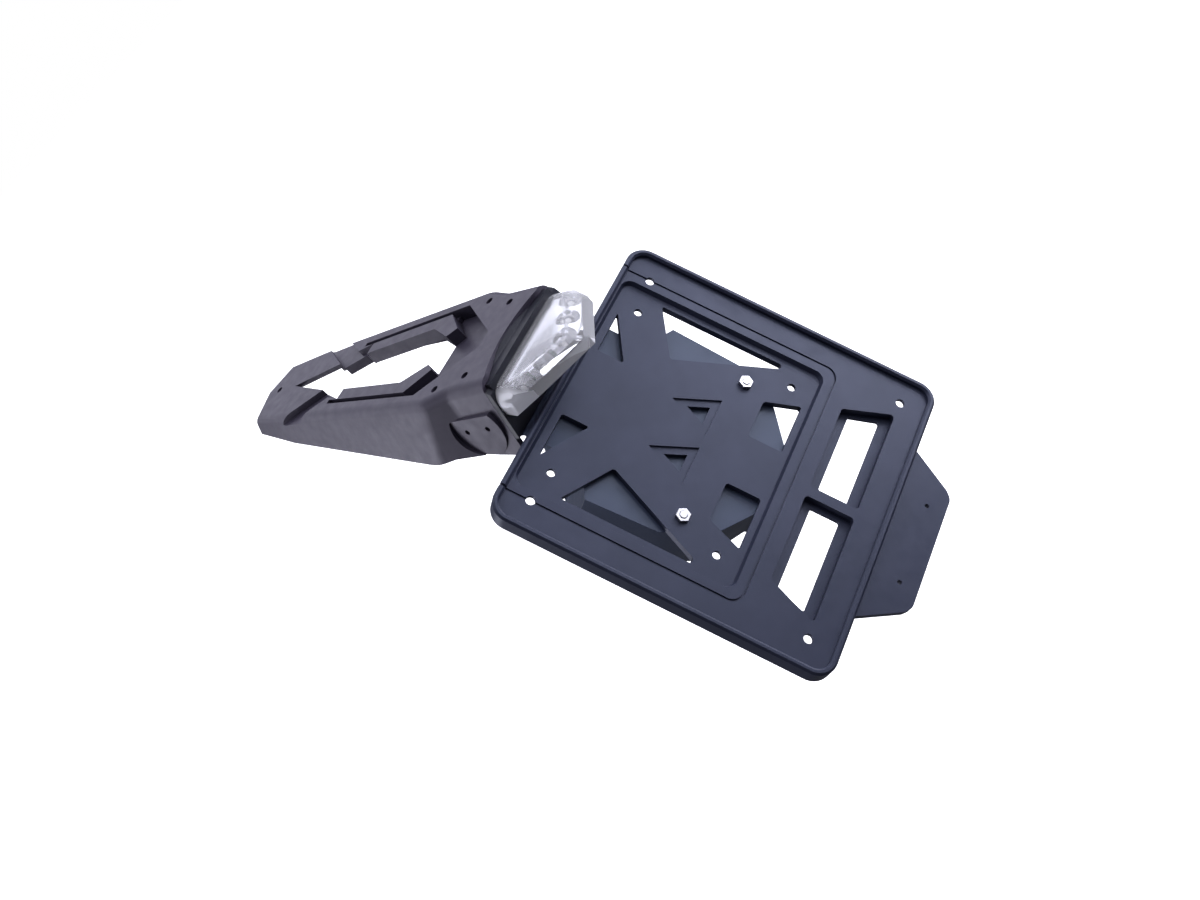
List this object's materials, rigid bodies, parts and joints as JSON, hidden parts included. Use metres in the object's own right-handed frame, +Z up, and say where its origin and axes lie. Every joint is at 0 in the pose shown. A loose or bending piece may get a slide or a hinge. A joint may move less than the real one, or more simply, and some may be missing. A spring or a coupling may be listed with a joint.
{
  "type": "tail tidy",
  "caption": "Moulded motorbike tail with an open centre and a clear faceted rear light, carrying a tilted square number plate holder on a folded sheet bracket.",
  "frame": {"origin": "on the tail's deck, midway between the wide pair of bolt holes", "axes": "+X to the bike's right, +Y forward to the nose, +Z up, square to the deck"},
  "size_m": [0.184, 0.389, 0.2024],
  "materials": {
    "tail_plastic": "satin moulded plastic, fine grain",
    "plate_plastic": "satin moulded plastic, fine grain",
    "bracket_coat": "smooth dark coat on folded sheet steel",
    "surround_gloss": "polished black plastic",
    "lens_clear": "clear polished plastic",
    "reflector_chrome": "vacuum-metallised plastic",
    "diode_clear": "clear domed diode",
    "board_green": "lacquered circuit board",
    "zinc_steel": "bright zinc plate",
    "gland_rubber": "soft black rubber",
    "insert_brass": "plain brass"
  },
  "bodies": {
    "root": {"tail_body": "tail_plastic", "plate_holder": "plate_plastic", "plate_bracket": "bracket_coat", "light_housing": "surround_gloss", "light_lens": "lens_clear", "light_reflector": "reflector_chrome", "leds": "diode_clear", "led_board": "board_green", "light_screws": "zinc_steel", "lead_grommet": "gland_rubber", "bracket_bolts": "zinc_steel", "bracket_nuts": "zinc_steel", "bracket_washers": "zinc_steel", "tail_screws": "zinc_steel", "tail_washers": "zinc_steel", "tail_inserts": "insert_brass"}
  },
  "joints": []
}
